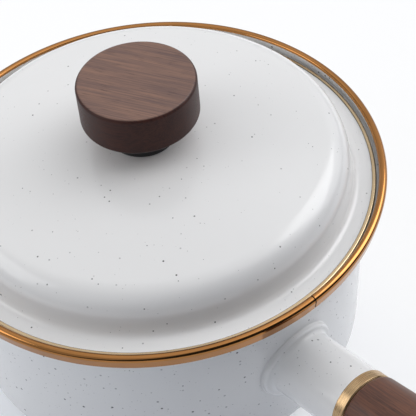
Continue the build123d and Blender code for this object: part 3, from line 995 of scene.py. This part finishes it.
def make_curtain(look):
    """A dark curtain round the pan, highest behind the camera.

    At a bearing a its top stands at the angle low + rise max(cos(a - bearing), 0) to the power of fall.
    """
    material = set_inputs(new_finish("curtain_dark")[0], Base_Color=opaque(look.curtain), Roughness=1.0)
    around = np.linspace(0, math.tau, CURTAIN_COLUMNS, endpoint=False)
    facing = np.maximum(np.cos(around - CURTAIN_BEARING), 0.0)
    top = CURTAIN_LOW + CURTAIN_RISE * facing**CURTAIN_FALL
    up = np.linspace(0.0, 1.0, CURTAIN_ROWS)[:, None] * top
    points = CURTAIN_DISTANCE * direction(around, up)
    faces = grid_faces(CURTAIN_ROWS, CURTAIN_COLUMNS, False, True)
    curtain = stage_mesh("curtain", points.reshape(-1, 3).tolist(), faces, material)
    curtain.visible_camera = False


def make_sky(look):
    """Light from all round, with more from one side: even + side max(d . way, 0) to the fourth power."""
    world = bpy.data.worlds.new("Studio")
    world.use_nodes = True
    tree = world.node_tree
    way = {0: add(tree, "TexCoord").outputs["Generated"], 1: look.sky_way}
    facing = add(tree, "VectorMath", way, operation="DOT_PRODUCT").outputs["Value"]
    lobe = maths(tree, "POWER", maths(tree, "MAXIMUM", facing, 0.0), SIDE_LIGHT_POWER)
    strength = maths(tree, "ADD", look.sky_even, maths(tree, "MULTIPLY", lobe, look.sky_side))
    bpy.context.scene.world = set_inputs(world, "Background", Color=opaque(look.sky), Strength=strength)


def make_lamps():
    """Soft square lamps that face the pan; one of them lights gloss alone, and one all but gloss."""
    for step, softbox in enumerate(SOFTBOXES):
        data = bpy.data.lights.new(softbox["name"], "AREA")
        data.size = softbox["size"]
        data.energy = softbox["watts"]
        lamp = new_object(softbox["name"], data)
        way = Vector(direction(math.radians(softbox["around"]), math.radians(softbox["up"])))
        lamp.location = way * (SOFTBOX_DISTANCE - SOFTBOX_STEP * step)
        lamp.rotation_mode = "QUATERNION"
        lamp.rotation_quaternion = (-way).to_track_quat("-Z", "Y")
        lamp.visible_camera = False
        lamp.visible_diffuse = softbox.get("matt", True)
        lamp.visible_glossy = softbox.get("gloss", True)


# Operators

# Bare steel where the strip hides the pot's lip and where the strip is cut, darkened by painted shade as
# between tight surfaces
SHADED_BARE_LIP = {"roughness": 0.5, "shade": 0.12}
SHADED_CUT_END = {"roughness": 0.5, "shade": 0.08}

# The knob's wood: its shine, the painted light and sheen on its face, and the painted shade on its side
KNOB_WOOD_AND_PAINTED_LIGHT = {"shine": 0.18, "face": (1.62, 2.2, 2.65), "side": (0.38, 0.31, 0.36)}


class SAUCEPAN_OT_stage(bpy.types.Operator):
    """Sets the camera, the pale floor and the soft studio light"""

    bl_idname = "saucepan.stage"
    bl_label = "Stage"

    def execute(self, context):
        look = context.scene.saucepan.stage
        context.scene.view_settings.view_transform = "Standard"
        set_camera(look)
        make_floor(look)
        make_curtain(look)
        make_sky(look)
        make_lamps()
        return {"FINISHED"}


class SAUCEPAN_OT_pot(bpy.types.Operator):
    """Makes the pot's enamelled sheet, with bare metal darkened by painted shade on the lip under the strip
    """

    bl_idname = "saucepan.pot"
    bl_label = "Pot"

    def execute(self, context):
        settings = context.scene.saucepan
        surface = turned(pot_outline(settings.pot), UPRIGHT, closed=False)
        # The lip under the strip is bare steel darkened by painted shade
        finishes = (
            enamel("pot_enamel", settings.colours, **POT_SPECKS),
            turned_steel("bare_lip_shaded", settings.colours.steel, **SHADED_BARE_LIP),
        )
        covered = covered_faces(settings.pot, surface)
        new_piece("pot_enamelled", surface, finishes, "pot", "enamel", "pot_shell", face_finish=covered)
        return {"FINISHED"}


class SAUCEPAN_OT_rim(bpy.types.Operator):
    """Makes the gilt strip rolled over the pot's lip, with its open joint"""

    bl_idname = "saucepan.rim"
    bl_label = "Rim strip"

    def execute(self, context):
        settings = context.scene.saucepan
        pot = settings.pot
        half_gap = pot.seam_gap / pot.rim_radius / 2
        start = pot.seam_azimuth + half_gap
        surface = open_turned(rim_outline(pot), UPRIGHT, start, start + math.tau - 2 * half_gap)
        # The strip's cut ends are steel darkened by painted shade in the open joint
        finishes = (
            gilt("rim_gilt", settings.colours.gilt, roughness=0.10),
            turned_steel("cut_end_shaded", settings.colours.steel, **SHADED_CUT_END),
        )
        is_cap = np.array([len(face) > QUAD for face in surface[1]], np.int32)
        new_piece("rim_strip", surface, finishes, "pot", "gilt_strip", "rim_band", face_finish=is_cap)
        return {"FINISHED"}


class SAUCEPAN_OT_socket(bpy.types.Operator):
    """Makes the enamelled tube that carries the grip, with its collar on the wall"""

    bl_idname = "saucepan.socket"
    bl_label = "Handle socket"

    def execute(self, context):
        settings = context.scene.saucepan
        surface = socket_surface(settings.pot, settings.handle)
        finishes = (enamel("socket_enamel", settings.colours, **POT_SPECKS),)
        new_piece("socket_enamelled", surface, finishes, "pot", "enamel", "handle_socket")
        return {"FINISHED"}


class SAUCEPAN_OT_ferrule(bpy.types.Operator):
    """Makes the brass ring between the socket and the wood"""

    bl_idname = "saucepan.ferrule"
    bl_label = "Ferrule"

    def execute(self, context):
        settings = context.scene.saucepan
        handle = settings.handle
        surface = turned(ferrule_outline(handle), handle_turning(settings.pot, handle))
        finishes = (brushed_brass("ferrule_brass", settings.colours.brass, handle.tilt),)
        new_piece("ferrule_ring", surface, finishes, "pot", "ferrule_brass", "handle_ferrule")
        return {"FINISHED"}


class SAUCEPAN_OT_grip(bpy.types.Operator):
    """Makes the turned walnut grip"""

    bl_idname = "saucepan.grip"
    bl_label = "Grip"

    def execute(self, context):
        settings = context.scene.saucepan
        handle = settings.handle
        surface = turned(grip_outline(handle), handle_turning(settings.pot, handle))
        finishes = (walnut("grip_walnut", settings.colours, (0.0, handle.tilt, 0.0), shine=0.3),)
        new_piece("grip_turned", surface, finishes, "pot", "walnut", "handle_grip")
        return {"FINISHED"}


class SAUCEPAN_OT_lid(bpy.types.Operator):
    """Makes the lid's enamelled sheet"""

    bl_idname = "saucepan.lid"
    bl_label = "Lid"

    def execute(self, context):
        settings = context.scene.saucepan
        surface = turned(lid_outline(settings.lid), UPRIGHT)
        finishes = (enamel("lid_enamel", settings.colours, **LID_SPECKS),)
        new_piece("lid_enamelled", surface, finishes, "lid", "enamel", "lid_shell")
        return {"FINISHED"}


class SAUCEPAN_OT_lid_strip(bpy.types.Operator):
    """Makes the gilt strip folded over the lid's edge"""

    bl_idname = "saucepan.lid_strip"
    bl_label = "Lid strip"

    def execute(self, context):
        settings = context.scene.saucepan
        lid = settings.lid
        surface = turned(lid_strip_outline(lid), UPRIGHT)
        # Radii between which the strip is bright; beyond them it carries painted shade
        border = (lid.radius - lid.strip_width + EDGE_LINE, lid.radius - BORDER_INSET)
        finishes = (gilt("lid_gilt", settings.colours.lid_gilt, roughness=0.2, border=border),)
        new_piece("lid_strip", surface, finishes, "lid", "gilt_strip", "lid_edge_band")
        return {"FINISHED"}


class SAUCEPAN_OT_knob(bpy.types.Operator):
    """Makes the walnut knob and the dark neck under it"""

    bl_idname = "saucepan.knob"
    bl_label = "Knob and neck"

    def execute(self, context):
        settings = context.scene.saucepan
        neck = turned(neck_outline(settings.lid), UPRIGHT)
        knob = turned(knob_outline(settings.lid), UPRIGHT, closed=False)
        neck_finish = (matt_black("neck_black", settings.colours.neck),)
        grain = (0.0, 0.0, -settings.lid.knob_grain)
        knob_finish = (walnut("knob_walnut", settings.colours, grain, **KNOB_WOOD_AND_PAINTED_LIGHT),)
        new_piece("neck_turned", neck, neck_finish, "lid", "dark_neck", "knob_neck")
        new_piece("knob_turned", knob, knob_finish, "lid", "walnut", "lid_knob")
        return {"FINISHED"}


class SAUCEPAN_OT_fittings(bpy.types.Operator):
    """Gives the bolt, screw, washers, sleeve, anchor and gaskets their finishes"""

    bl_idname = "saucepan.fittings"
    bl_label = "Fittings"

    def execute(self, context):
        colours = context.scene.saucepan.colours
        steel = turned_steel("fitting_steel", colours.steel, roughness=0.32)
        brass = brushed_brass("sleeve_brass", colours.brass, math.pi / 2)
        rubber = gasket_rubber("gasket_rubber", colours.rubber)
        groups = (
            (steel, ("socket_anchor", "handle_bolt", "bolt_washer", "spring_washer")),
            (steel, ("knob_screw", "lid_washer")),
            (brass, ("knob_insert",)),
            (rubber, ("knob_gasket", "lid_gasket")),
        )
        for finish, names in groups:
            for name in names:
                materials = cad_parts[name].data.materials
                materials.clear()
                materials.append(finish)
        return {"FINISHED"}


class SAUCEPAN_PT_pieces(bpy.types.Panel):
    """Lists the saucepan's pieces"""

    bl_idname = "SAUCEPAN_PT_pieces"
    bl_label = "Saucepan"
    bl_space_type = "VIEW_3D"
    bl_region_type = "UI"
    bl_category = "Saucepan"

    def draw(self, context):
        for operator in OPERATORS:
            self.layout.operator(operator.bl_idname)


OPERATORS = (
    SAUCEPAN_OT_stage,
    SAUCEPAN_OT_pot,
    SAUCEPAN_OT_rim,
    SAUCEPAN_OT_socket,
    SAUCEPAN_OT_ferrule,
    SAUCEPAN_OT_grip,
    SAUCEPAN_OT_lid,
    SAUCEPAN_OT_lid_strip,
    SAUCEPAN_OT_knob,
    SAUCEPAN_OT_fittings,
)
GROUPS = (PotSizes, LidSizes, HandleSizes, FinishColours, StageLook, SaucepanSettings)
CLASSES = (*GROUPS, *OPERATORS, SAUCEPAN_PT_pieces)


def register():
    for each in CLASSES:
        bpy.utils.register_class(each)
    bpy.types.Scene.saucepan = PointerProperty(type=SaucepanSettings)


def unregister():
    del bpy.types.Scene.saucepan
    for each in reversed(CLASSES):
        bpy.utils.unregister_class(each)


def main():
    """Builds every piece and the stage."""
    register()
    for operator in OPERATORS:
        group, name = operator.bl_idname.split(".")
        getattr(getattr(bpy.ops, group), name)()


if __name__ == "__main__":
    main()
